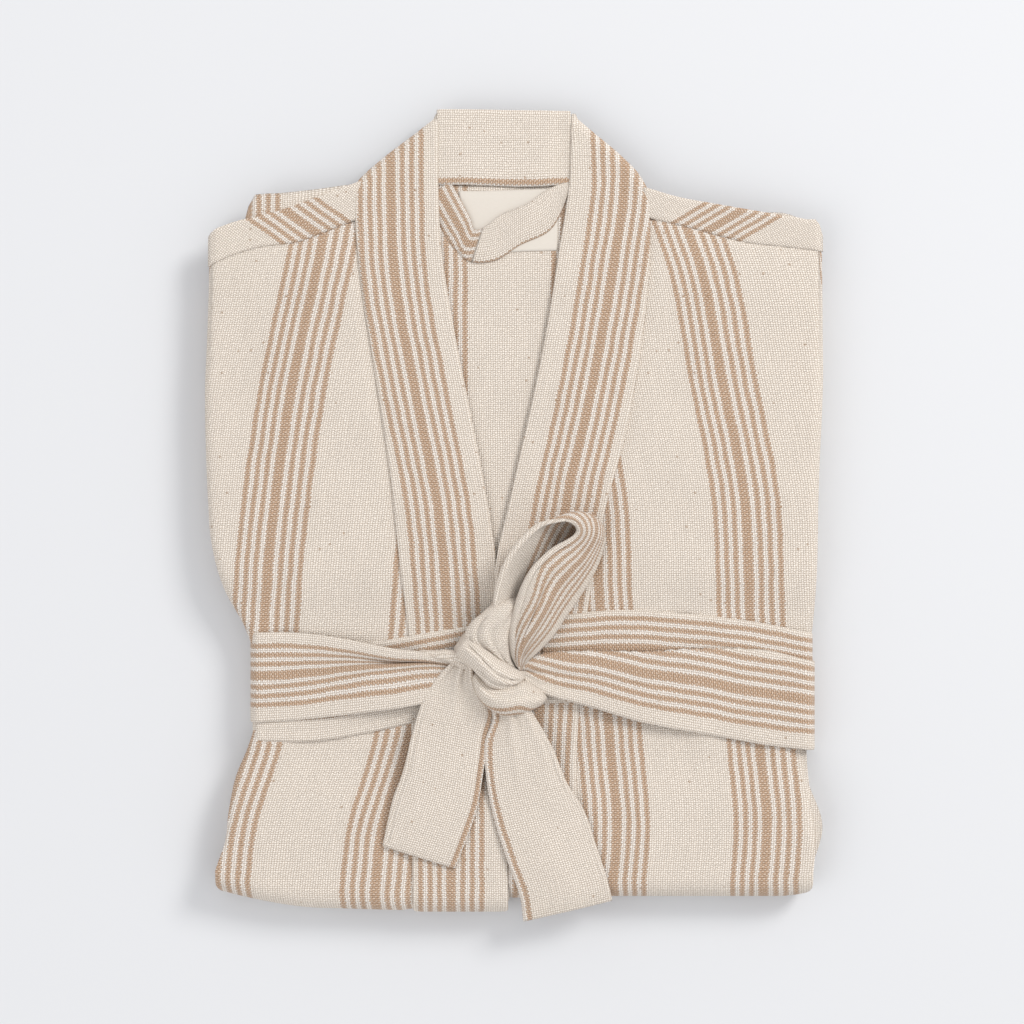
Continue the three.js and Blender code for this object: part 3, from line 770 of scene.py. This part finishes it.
patch("left_pocket", -178, -88, -262, -95, 32.9, 130, 1.2, hem_at=-240)
patch("right_pocket", 114, 204, -262, -95, 32.9, -160, 1.2, hem_at=-240)
patch("left_belt_carrier", -152, -140, -173, -91, 11.5, plain_shift + 146, 0.8, bulge=0.1)
patch("right_belt_carrier", 166, 178, -173, -91, 11.5, plain_shift - 172, 0.8, bulge=0.1)

# %% [markdown]
# ## Neck label
# The care label at the neck is a strip of smooth satin ribbon, sewn in along its top. It is left
# blank. The weave above is far too coarse for it, so it has a material of its own, with a fine
# stretched grain.

# %% Neck label
satin = Wires("label_satin")
satin_uv = satin.node("ShaderNodeUVMap", uv_map="cloth").outputs[0]
fine = satin.node("ShaderNodeMapping")
fine.inputs["Scale"].default_value = (300.0, 4200.0, 1.0)
satin.links.new(satin_uv, fine.inputs[0])
satin_grain = satin.noise(fine.outputs[0], 1.0)
satin.links.new(satin.mix(satin_grain, (0.66, 0.60, 0.52, 1), (0.74, 0.69, 0.62, 1)),
                satin.shader.inputs["Base Color"])
satin.shader.inputs["Roughness"].default_value = 0.55
satin.shader.inputs["Sheen Weight"].default_value = 0.2
label_left, label_right, label_top, label_end = -43, 32, 248.5, 201
label_x = np.linspace(label_left, label_right, 40)[None, :] + np.zeros((24, 1))
label_y = np.linspace(label_top, label_end, 24)[:, None] + 0.9 * np.sin(label_x / 23)
side_gap = np.minimum(label_x - label_left, label_right - label_x)
label_gap = np.minimum(side_gap, np.minimum(label_top - label_y, label_y - label_end))
label_stitch = 0.3 * np.exp(-((label_gap - 2.5) ** 2))
label_z = level(4.1, label_y) + 0.25 * ripple(label_x, label_y, 22, 5) - label_stitch
cloth("neck_label", np.stack([label_x, label_y, label_z], -1), np.stack([label_x, label_y], -1), 0.45,
      ["neck_label"], material=satin.material)

# %% [markdown]
# ## Ribbons between two edges
# The loop, the bow, the knot and the tails are lengths of doubled strip that bend freely. They could
# be curves with a width, but a curve can't gather or twist to order. So each is set out by its two
# edges, and the cloth is spread between them, flat or arched like a gathered roll.

# %% Ribbon maker


def spread(low, high, rows, columns, evenly=None):
    """Rows of points from one edge curve to the other."""
    a, b = route(low, rows), route(high, rows)
    share = (np.linspace(0, 1, columns) if evenly is None else evenly)[None, :, None]
    return a[:, None, :] * (1 - share) + b[:, None, :] * share, share[..., 0]


def lengths(grid, axis):
    step = np.linalg.norm(np.diff(grid, axis=axis), axis=2)
    zero = np.zeros_like(np.take(step, [0], axis=axis))
    return np.concatenate([zero, np.cumsum(step, axis=axis)], axis)


def ribbon_map(grid, start_u, direction=1):
    """Flat map of a ribbon: across from its first edge, along its middle."""
    across = lengths(grid, 1)
    middle = lengths(grid[:, [grid.shape[1] // 2]], 0)
    return np.stack([start_u + direction * across, middle + 0 * across], -1)

# %% [markdown]
# ## Hanging loop
# A short strip sewn in at both ends of the neck seam, to hang the robe by. It lies down over the
# label and folds over itself once, so its stripes show on the left and its plain half on the right.

# %% Hanging loop
loop_upper = [
    (-50, 256, 25.8), (-42, 241, 29.0), (-35, 227.5, 30.4), (-30, 217.2, 31.2), (-27, 217.8, 31.9),
    (-11.6, 228.6, 31.3), (9.4, 237.7, 30.6), (24.5, 248.5, 28.6), (43, 256, 25.8)]
loop_lower = [
    (-66, 242, 25.8), (-60, 224, 27.2), (-51, 208, 28.8), (-41, 198.4, 29.9), (-38, 195.4, 30.4),
    (-17.6, 193.8, 30.2), (3.4, 206.1, 30.2), (26, 217.4, 29.2), (40, 244, 26.0)]
grid, share = spread(loop_upper, loop_lower, 84, 26)
rim_gap = np.minimum(share, 1 - share) * 22
row = np.linspace(0, 1, 84)[:, None]
loop_swell = 0.4 * ripple(grid[..., 0], grid[..., 1], 15, 9)
grid[..., 2] += 0.9 * np.sin(math.pi * share) - stitched(rim_gap, 3.0, 0.2) + loop_swell
grid[..., 2] -= 0.8 * np.exp(-(((row - 0.385) / 0.012) ** 2))
loop_map = ribbon_map(grid, 0)
striped_u = 15 - loop_map[..., 0] * 1.25
plain_u = 90.3 - (loop_map[:, -1:, 0] - loop_map[..., 0])
loop_map[..., 0] = np.where(row < 0.39, striped_u, plain_u)
cloth("hanging_loop", grid, loop_map, 1.5, ["hanging_loop"], body="loop")

# %% [markdown]
# ## The sash
# The sash is a doubled strip about 68 mm wide with one group of stripes along it. It goes round the
# stack twice. Both turns are closed runs of cloth: over the top, round each side and flat underneath.
# Towards the knot the outer turn gathers: on the left into a rolled ridge over a deep pleat, on the
# right under a fold.

# %% Path round the stack


def round_path(start, stop, left, right, side_depth, top_z, low_z):
    """Rows round the stack from start, over the left side, underneath and back to stop on the right."""
    step = 3.2
    turn = np.linspace(0, math.pi, 17)[1:-1]
    go = np.arange(start, left + side_depth, -step)
    under = np.arange(left + side_depth, right - side_depth, 2 * step)
    back = np.arange(right - side_depth, stop, -step)
    x = np.r_[go, left + side_depth - side_depth * np.sin(turn), under,
              right - side_depth + side_depth * np.sin(turn), back, stop]
    on_top = np.r_[np.ones(len(go)), (1 + np.cos(turn)) / 2, np.zeros(len(under)),
                   (1 - np.cos(turn)) / 2, np.ones(len(back) + 1)]
    hand = np.r_[-np.ones(len(go) + 15), np.zeros(len(under)), np.ones(len(back) + 16)]
    z = low_z + (top_z - low_z) * on_top
    return x, z, on_top, hand


def wrap(name, path, high_top, low_top, high_low, width_low, v_low, v_high, arrange, nodes):
    x_row, z_row, on_top, hand = path
    v = np.linspace(0, 1, 44)
    fraction, lift = arrange(x_row, hand, v)
    on_top = on_top[:, None]
    x = x_row[:, None] + 0 * v[None, :]
    high = high_top(x_row)[:, None] * on_top + high_low(x_row)[:, None] * (1 - on_top)
    low = low_top(x_row)[:, None] * on_top + (high_low(x_row)[:, None] - width_low) * (1 - on_top)
    y = low + (high - low) * fraction
    gap = np.minimum(v, 1 - v)[None, :] * (v_high - v_low)
    z = z_row[:, None] + (lift - stitched(gap, 4.0, 0.3) * 0.8) * on_top ** 4
    z = z + 0.35 * ripple(x, y, 26, 77) * on_top ** 4
    grid = np.stack([x, y, z], -1)
    run = lengths(grid[:, [22]], 0)
    flat = np.stack([v_low + (v_high - v_low) * v[None, :] + 0 * x, run + 0 * x], -1)
    return cloth(name, grid, flat, 1.7, nodes, material=sash_cloth)


inner_high = outline(
    (-203, -104), (-141, -101), (-98, -95), (-37, -84), (3, -78), (38, -75), (85, -72), (130, -75),
    (182, -81), (228, -90))
inner_low = outline(
    (-203, -172), (-150, -171.5), (-121, -167), (-73, -157), (-35, -149), (11, -144), (64, -142),
    (140, -146), (228, -159))


def plain_wrap(x, hand, v):
    crease = -0.7 * np.exp(-(((v - 0.12) / 0.03) ** 2))[None, :] * (x < -40)[:, None]
    return v[None, :] + 0 * x[:, None], crease + 0 * x[:, None]


inner_path = round_path(-8, 20, sash_left + 1.6, sash_right - 1.6, 6.5, 28.3, 3.4)
wrap("sash_inner_wrap", inner_path, inner_high, inner_low, lambda x: -104 + (x + 203) / 431 * 14, 69,
     -42, 29.5, plain_wrap, ["sash_inner_wrap"])

# %% [markdown]
# ## Outer turn
# On the left its middle is drawn into a deep pleat under a rolled ridge; on the right it folds over
# itself. The map stays even across the strip, and only the places bunch up, as they do on real cloth.

# %% Outer turn of the sash
outer_high = outline(
    (-203, -89), (-161, -89.5), (-134, -93), (-92, -101), (-65, -104), (-44, -109), (2, -114),
    (9, -109), (19, -105.5), (50, -103), (102, -103), (140, -101), (176, -101), (209, -106),
    (228, -111))
outer_low = outline(
    (-203, -158), (-171, -156), (-124, -151), (-68, -142), (-44, -134), (2, -120), (16, -133),
    (26, -137), (55, -145), (95, -157), (148, -167), (200, -176), (228, -179))
folded_at = outline(
    (2, -13), (23, 0), (65, 9), (100, 16), (142, 23.5), (172, 29.5), (228, 29.5))
v_low, v_high = -37.0, 34.0


def gathered_wrap(x, hand, v):
    value = v_low + (v_high - v_low) * v[None, :]
    left_gather = (ease((x + 178) / 125) * (hand < 0))[:, None]
    ladder = np.interp(value, [-37, -23, -16, -9, 0, 9, 16, 24, 34],
                       [0, 0.34, 0.55, 0.71, 0.785, 0.80, 0.815, 0.83, 1])
    left_fraction = v[None, :] * (1 - left_gather) + ladder * left_gather
    pocket = np.exp(-(((value - 9) / 8.5) ** 4))
    ridge = np.exp(-(((value - 29) / 5.5) ** 2))
    left_lift = left_gather * (7.5 - 7 * left_gather * pocket + 1.5 * ridge)
    fold = folded_at(x)[:, None]
    visible = np.clip((value - v_low) / (fold - v_low), 0, 1)
    hidden = np.clip((value - fold) / 26, 0, 1.5)
    right_fraction = visible - hidden * 0.5
    near = np.exp(-np.maximum(x - 2, 0) / 34)[:, None]
    roll_down = 2.6 * ease(hidden * 6)
    bulge = 1.2 * np.sin(math.pi * np.clip(visible, 0, 1)) * ease((150 - x[:, None]) / 90)
    creases = near * (2.2 * np.sin(visible * 9.0 + 0.6) + 1.2 * np.sin(visible * 21))
    right_lift = 6.5 * near + bulge + creases - roll_down + 1.2 * ease((170 - x[:, None]) / 60)
    right = (hand > 0)[:, None]
    fraction = np.where(right, right_fraction, left_fraction)
    blend = np.where(right, ease((228 - x[:, None]) / 20), ease((x[:, None] + 203) / 20))
    return fraction, np.where(right, right_lift, left_lift) * blend


outer_path = round_path(-40, 2, sash_left, sash_right, 7.5, 30.6, 0.95)
wrap("sash_outer_wrap", outer_path, outer_high, outer_low, lambda x: -89 - (x + 203) / 431 * 22, 68,
     v_low, v_high, gathered_wrap, ["sash_outer_wrap"])

# %% [markdown]
# ## The knot
# The knot is the sash's two ends drawn tight through each other. Tying it in a simulation would take
# long and wouldn't give the same knot twice. What shows is a few gathered rolls, so those are made:
# one that feeds the bow, one that crosses from the upper left, one that wraps underneath like a
# crescent, and a small twist where the left ridge goes in. Creases follow the pull and run together
# at the ends.

# %% Knot rolls


def gathered_roll(name, left_edge, right_edge, crest, height, grooves, start_u, nodes, direction=1):
    rows, columns, tuck = 64, 40, 2.1
    a, b = route(left_edge, rows), route(right_edge, rows)
    crest_share = np.linspace(0, 1, len(crest))
    top_z = hermite(crest_share, np.array(crest, float), np.linspace(0, 1, rows))[:, None]
    middle, reach = (a + b) / 2, (b - a) / 2
    along = np.linspace(0, 1, rows)[:, None]
    closing = np.exp(-((along / 0.045) ** 2)) + np.exp(-(((1 - along) / 0.045) ** 2))
    phi = np.linspace(-tuck, tuck, columns)[None, :] * (1 - 0.7 * closing)
    xy = middle[:, None, :] + reach[:, None, :] * np.sin(phi)[..., None]
    z = top_z - height + height * np.cos(phi) - 1.15 * height * closing
    place = np.concatenate([xy, z[..., None]], 2)
    normal = facing(place)
    normal *= np.sign(normal[..., 2].mean())
    relief = 0.35 * ripple(along * 60, phi * 9, 7, 13)
    for place_phi, slant, deep, wide, begin, end in grooves:
        centre = place_phi + slant * (along - 0.5)
        fade = ease((along - begin) / 0.12) * ease((end - along) / 0.12)
        relief = relief - deep * fade * np.exp(-(((phi - centre) / wide) ** 2))
        shoulder = np.exp(-(((phi - centre - 2.3 * wide) / (1.6 * wide)) ** 2))
        relief = relief + 0.45 * deep * fade * shoulder
    place = place + normal * relief[..., None]
    return cloth(name, place, ribbon_map(place, start_u, direction), 1.6, nodes,
                 material=sash_cloth)


gathered_roll("knot_stem",
              [(-10, -60), (-16, -66), (-25, -74), (-34, -82), (-38, -92), (-25, -105), (-7, -118)],
              [(2, -58), (4, -66), (1, -76), (-3, -88), (-4, -100), (-2, -110), (4, -119)],
              [47, 56, 58, 57, 54, 49, 43], 11,
              [(-0.5, 1.0, 2.2, 0.16, 0.25, 0.95), (0.15, 0.5, 1.9, 0.15, 0.35, 1.1),
               (-0.9, 0.3, 1.5, 0.12, 0.42, 0.7), (0.6, -0.2, 1.2, 0.13, 0.1, 0.8)], 28, ["sash_knot"])
gathered_roll("knot_cross",
              [(-37, -86), (-30, -94), (-22, -101), (-13, -108), (-4, -114), (4, -118), (10, -121)],
              [(-49, -104), (-42, -109), (-35, -113), (-27, -121), (-17, -130), (-4, -131), (6, -127)],
              [50, 56, 60, 60, 57, 52, 44], 11,
              [(-0.15, 0.5, 1.8, 0.12, 0.05, 0.95), (0.7, -0.4, 1.3, 0.12, 0.3, 1.0)], 28, ["sash_knot"])
gathered_roll("knot_wrap",
              [(-31, -115), (-24, -124), (-16, -129), (-4, -128), (7, -126), (16, -131), (25, -137)],
              [(-34, -119), (-31, -131), (-24, -142), (-14, -149), (0, -150.5), (15, -146), (26, -139.5)],
              [44, 50, 54, 54.5, 52, 47, 40], 12,
              [(-0.3, 0.2, 1.0, 0.18, 0.15, 0.9)], -56, ["sash_knot"], direction=1)
gathered_roll("knot_twist",
              [(-74, -103), (-61, -103), (-50, -102.5), (-40, -105), (-31, -111)],
              [(-74, -107), (-61, -108.5), (-50, -111), (-41, -115), (-33, -119)],
              [37, 40, 44, 47, 44], 6, [(0.1, 0.4, 0.8, 0.16, 0.1, 0.9)], 28, ["sash_knot"])

# %% [markdown]
# ## The bow loop
# The end of the sash is pulled back through the knot as a loop. It stands on its edge and leans over,
# so a pale rim shows all round a dark hollow, and the striped outside of the near wall faces up.

# %% Bow loop
rim_points = [
    (-11, -96, 44), (-13, -80, 49), (-15, -67, 52), (-12, -51, 56), (-7, -37, 59), (0, -25, 61),
    (9, -15, 62), (18, -7.5, 62.5), (28, -4.5, 63), (38, -3.5, 63), (45, -6, 63), (48, -11, 63),
    (45.5, -16, 63), (39, -20.5, 63), (30, -25.5, 62.5), (21, -33, 62), (13, -42, 61), (8, -52, 59),
    (4, -64, 56), (0, -78, 53), (-2, -92, 50), (-1, -106, 46), (2, -115, 42)]
foot_points = [
    (-7, -106, 39), (-6, -90, 42), (-4, -82, 40), (4, -68, 38), (10, -56, 37.5), (19, -44, 37.5),
    (30, -31, 37.5), (41, -20, 37.5), (51, -10, 37.5), (60, -5, 37.5), (66, -8, 37.5),
    (67.5, -17, 37.5), (65.5, -28, 37.5), (61, -40, 37.5), (55, -51, 37.5), (46, -65, 37.5),
    (37, -78, 38), (29, -90, 38.5), (21, -99, 39), (14, -105.5, 40), (9, -110, 40), (6, -114, 40.5),
    (4, -118, 40)]
rows, columns = 160, 52
uniform = np.linspace(0, 1, rows)
even = np.linspace(0, 1, len(rim_points))
rim_line = hermite(even, np.array(rim_points, float), uniform)
foot_line = hermite(even, np.array(foot_points, float), uniform)
along = ((uniform * (len(rim_points) - 1) - 1) / (len(rim_points) - 2))[:, None]
lean = foot_line - rim_line
lean_flat = lean * np.array([1.0, 1.0, 0.0])
lean_flat /= np.linalg.norm(lean_flat, axis=1, keepdims=True)
roll_radius = (1.9 + 2.2 * ease((along - 0.70) / 0.12) * ease((1.0 - along) / 0.1))[..., None]
lip = np.linspace(math.pi * 1.05, math.pi * 0.22, 13)[None, :, None]
upward = np.array([0.0, 0.0, 1.0])
lip_part = rim_line[:, None] + roll_radius * (np.cos(lip) * lean_flat[:, None] + np.sin(lip) * upward)
s = np.linspace(0, 1, columns - 12)[None, 1:, None]
wall_part = lip_part[:, -1:] + (foot_line[:, None] - lip_part[:, -1:]) * s
heading = np.gradient(rim_line, axis=0)
outward = np.stack([heading[:, 1] * -1, heading[:, 0], 0 * heading[:, 0]], -1)
outward /= np.linalg.norm(outward, axis=1, keepdims=True)
belly = 6.5 * np.exp(-(((along - 0.36) / 0.16) ** 2)) + 1.5 * np.exp(-(((along - 0.68) / 0.16) ** 2))
curve = np.sin(math.pi * s[..., 0] ** 0.8)
wall_part += outward[:, None] * (belly * curve)[..., None]
late = ease((along - 0.5) / 0.15)
wall_part[..., 2] += 7 * curve * (0.2 + 0.8 * late * ease((1.02 - along) / 0.2))
for place_s, slant, deep in ((0.30, 0.5, 1.8), (0.62, 0.35, 1.0)):
    line = place_s + slant * (along - 0.72)
    wall_part[..., 2] -= deep * np.exp(-(((s[..., 0] - line) / 0.04) ** 2)) * ease((along - 0.6) / 0.12)
wall_part[..., 2] += 0.5 * ripple(wall_part[..., 0], wall_part[..., 1], 14, 61) * curve
tuck_share = np.linspace(0, 1, 5)[None, 1:, None]
tuck_part = wall_part[:, -1:] - lean_flat[:, None] * 9 * tuck_share - upward * 1.7 * np.sqrt(tuck_share)
grid = np.concatenate([lip_part, wall_part, tuck_part], 1)
across = lengths(grid[:, :-4], 1)
spread_share = 1 - across / across[:, -1:]
flare = 16 * ease((along - 0.66) / 0.14)
plain_side = 22 * (1 - ease((along - 0.10) / 0.26))
foot_u = -35 + 28 * (1 - ease((along - 0.3) / 0.2))
wall_u = foot_u + (31 + flare - foot_u) * spread_share
tuck_u = foot_u - 9 * tuck_share[..., 0]
bow_u = np.concatenate([wall_u, tuck_u], 1) + plain_side
bow_map = np.stack([bow_u, lengths(grid[:, [26]], 0) + 0 * bow_u], -1)
bow_thick = np.full(grid.shape[:2], 1.9)
bow = cloth("sash_bow_loop", grid, bow_map, bow_thick, ["sash_bow_loop"], body=None, material=sash_cloth)
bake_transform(bow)

# %% [markdown]
# ## The tails
# The two ends hang out of the knot towards the hem and lie over the bottom fold. They are plain, with
# the edge stripe of the weave near one side, a turned hem at the end and stitching all round.

# %% Tails


def tail(name, left_edge, right_edge, start_u, direction, node):
    rows, columns = 90, 40
    grid, share = spread(left_edge, right_edge, rows, columns, evenly=edge_share_tail)
    along = lengths(grid[:, [20]], 0)
    total = along[-1, 0]
    width = np.linalg.norm(grid[:, -1] - grid[:, 0], axis=1)[:, None]
    rim_gap = np.minimum(np.minimum(share, 1 - share) * width, np.maximum(total - along, 0))
    near_knot = np.exp(-along / 26)
    relief = -stitched(rim_gap, 4.2, 0.9) * ease(along / 60)
    relief = relief + near_knot * (1.8 * np.sin(share * 17 + 0.5) + 0.8 * np.sin(share * 31))
    relief = relief + 0.7 * ripple(grid[..., 0], grid[..., 1], 30, 51) + 1.4 * np.sin(math.pi * share)
    grid[..., 2] += relief
    across = lengths(grid, 1)
    across = across * (66 / np.maximum(across[:, -1:], 1)) ** 0.35
    flat = np.stack([start_u + direction * across, along + 0 * across], -1)
    if direction < 0:
        flat[..., 0] = start_u - (across[:, -1:] - across)
    made = cloth(name, grid, flat, 1.9, [node], body=None, material=sash_cloth)
    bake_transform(made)
    return made


even = np.linspace(0, 1, 40)
edge_share_tail = 0.6 * even + 0.4 * (0.5 - 0.5 * np.cos(math.pi * even))
tail("sash_left_tail", [
    (-44, -108, 41), (-50, -113, 40.5), (-70, -140, 38), (-79, -168, 37.6), (-85, -193, 39.0),
    (-92, -212, 38.6), (-101, -251, 35.6),
], [
    (-32, -112, 43), (-29, -128, 43), (-17, -149, 40), (-21, -168, 37.6), (-24, -190, 38.0),
    (-29, -220, 38.4), (-46, -268, 36.0),
], -20, -1, "sash_left_tail")
tail("sash_right_tail", [
    (-19, -142, 42), (-17, -153, 40), (-23, -171, 38), (-22.5, -197, 36.6), (-17, -228, 36.4),
    (-9, -254, 36.6), (-1, -276, 36.4), (4, -292, 34), (6, -309, 30.5),
], [
    (6, -140, 42), (13, -150, 40), (27, -174, 36.8), (39, -203, 35.8), (51, -222, 36), (61, -250, 36.2),
    (67, -268, 36), (71, -282, 34.4), (73.5, -293, 31),
], 18, 1, "sash_right_tail")

# %% [markdown]
# ## Table and light
# The robe lies on a plain pale table. A large soft lamp high on the right gives the quiet shadow on
# the left and below, a weak one on the left fills it, and the pale sky lifts all the rest. A single
# sun would be simpler, but its hard shadows hide the weave.

# %% Table and lamps
table_material = Wires("table")
table_material.shader.inputs["Base Color"].default_value = (0.725, 0.735, 0.75, 1)
table_material.shader.inputs["Roughness"].default_value = 0.9
bpy.ops.mesh.primitive_plane_add(size=9, location=(0, 0, 0))
table = bpy.context.object
table.name = "table"
table.data.materials.append(table_material.material)


def lamp(name, place, size, power, colour=(1, 1, 1)):
    data = bpy.data.lights.new(name, "AREA")
    data.size = size
    data.energy = power
    data.color = colour
    made = bpy.data.objects.new(name, data)
    made.location = place
    made.rotation_euler = Vector(-np.array(place)).to_track_quat("-Z", "Y").to_euler()
    bpy.context.scene.collection.objects.link(made)


lamp("window", (2.8, 2.5, 2.9), 1.5, 115, (1.0, 0.985, 0.965))
lamp("fill", (-2.4, -1.4, 3.4), 3.0, 30, (1.0, 0.985, 0.97))
sky = bpy.data.worlds.new("sky")
sky.use_nodes = True
sky.node_tree.nodes["Background"].inputs[0].default_value = (0.98, 0.98, 1.0, 1)
sky.node_tree.nodes["Background"].inputs[1].default_value = 0.785
bpy.context.scene.world = sky
bpy.context.scene.view_settings.view_transform = "Standard"
